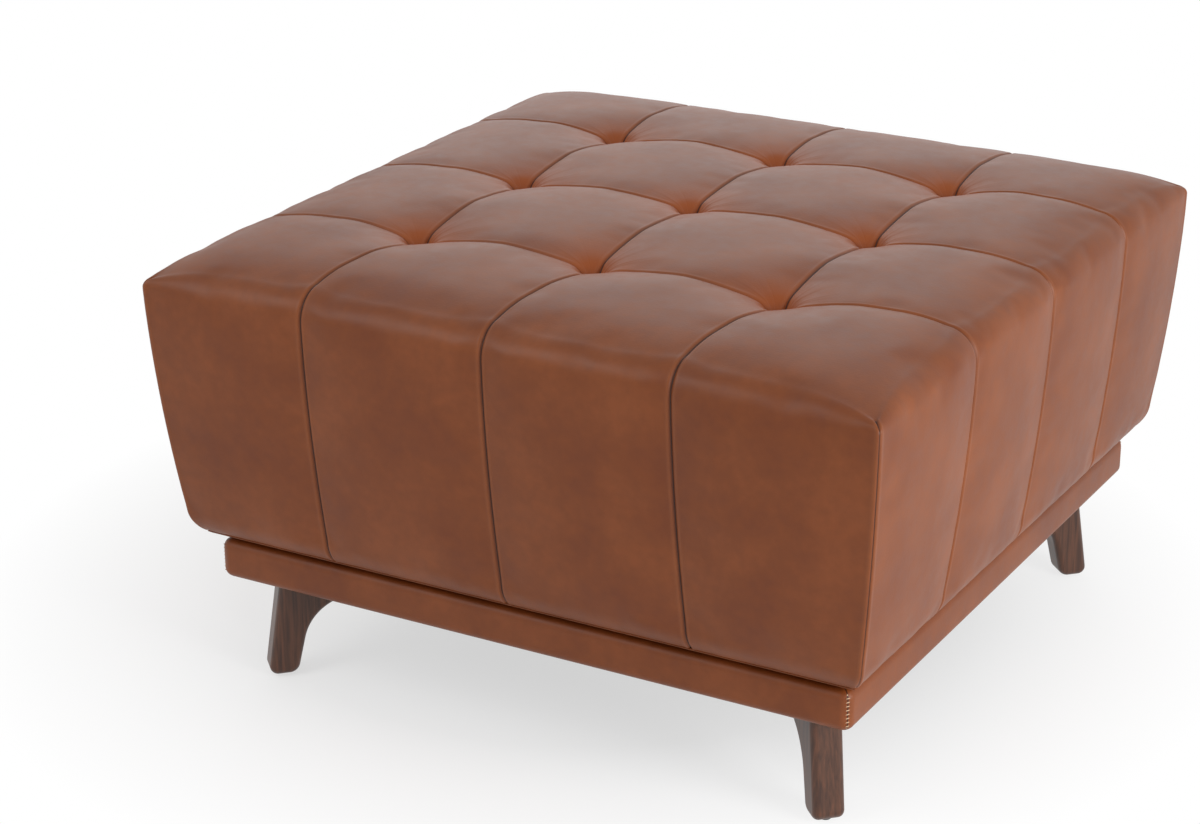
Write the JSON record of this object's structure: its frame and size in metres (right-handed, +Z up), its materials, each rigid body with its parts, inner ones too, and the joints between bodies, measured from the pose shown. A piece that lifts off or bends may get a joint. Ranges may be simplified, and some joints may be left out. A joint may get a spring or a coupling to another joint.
{
  "type": "ottoman coffee table",
  "caption": "Square leather ottoman coffee table with a panelled, blind-tufted cushion, a leather-wrapped plinth and splayed dark wooden legs.",
  "frame": {"origin": "middle of the footprint, on the floor", "axes": "+Z up, -Y the front side that faces left in the picture, +X the right side"},
  "size_m": [0.8128, 0.8128, 0.4826],
  "materials": {
    "leather": "semi-gloss waxed brown",
    "foam": "open-cell upholstery foam",
    "plywood": "raw plywood",
    "frame_wood": "raw sawn wood",
    "leg_wood": "dark walnut stain, satin lacquer",
    "glide": "moulded",
    "fastener_steel": "zinc plated",
    "dust_cloth": "black non-woven cambric",
    "twine": "waxed twine"
  },
  "bodies": {
    "root": {"base_board": "plywood", "box_panel_back": "plywood", "box_panel_front": "plywood", "box_panel_left": "plywood", "box_panel_right": "plywood", "corner_block_back_left": "frame_wood", "corner_block_back_right": "frame_wood", "corner_block_front_left": "frame_wood", "corner_block_front_right": "frame_wood", "corner_post_back_left": "frame_wood", "corner_post_back_right": "frame_wood", "corner_post_front_left": "frame_wood", "corner_post_front_right": "frame_wood", "deck_board": "plywood", "deck_joist_back": "frame_wood", "deck_joist_front": "frame_wood", "dust_cover": "dust_cloth", "frame_screws": "fastener_steel", "hem_strip_back": "leather", "hem_strip_front": "leather", "hem_strip_left": "leather", "hem_strip_right": "leather", "leather_back_towards_left": "leather", "leather_back_towards_right": "leather", "leather_centre_back_left": "leather", "leather_centre_back_right": "leather", "leather_centre_front_left": "leather", "leather_centre_front_right": "leather", "leather_corner_back_left": "leather", "leather_corner_front_right": "leather", "leather_corner_left_front": "leather", "leather_corner_right_back": "leather", "leather_front_towards_left": "leather", "leather_front_towards_right": "leather", "leather_left_towards_back": "leather", "leather_left_towards_front": "leather", "leather_right_towards_back": "leather", "leather_right_towards_front": "leather", "leg_back_left": "leg_wood", "leg_back_right": "leg_wood", "leg_bolts": "fastener_steel", "leg_front_left": "leg_wood", "leg_front_right": "leg_wood", "leg_glides": "glide", "leg_tee_nuts": "fastener_steel", "plinth_leather_back": "leather", "plinth_leather_front": "leather", "plinth_leather_left": "leather", "plinth_leather_right": "leather", "plinth_rail_back": "frame_wood", "plinth_rail_front": "frame_wood", "plinth_rail_left": "frame_wood", "plinth_rail_right": "frame_wood", "side_foam_back": "foam", "side_foam_front": "foam", "side_foam_left": "foam", "side_foam_right": "foam", "top_foam": "foam", "tuft_twines": "twine", "tuft_washers": "fastener_steel"}
  },
  "joints": []
}
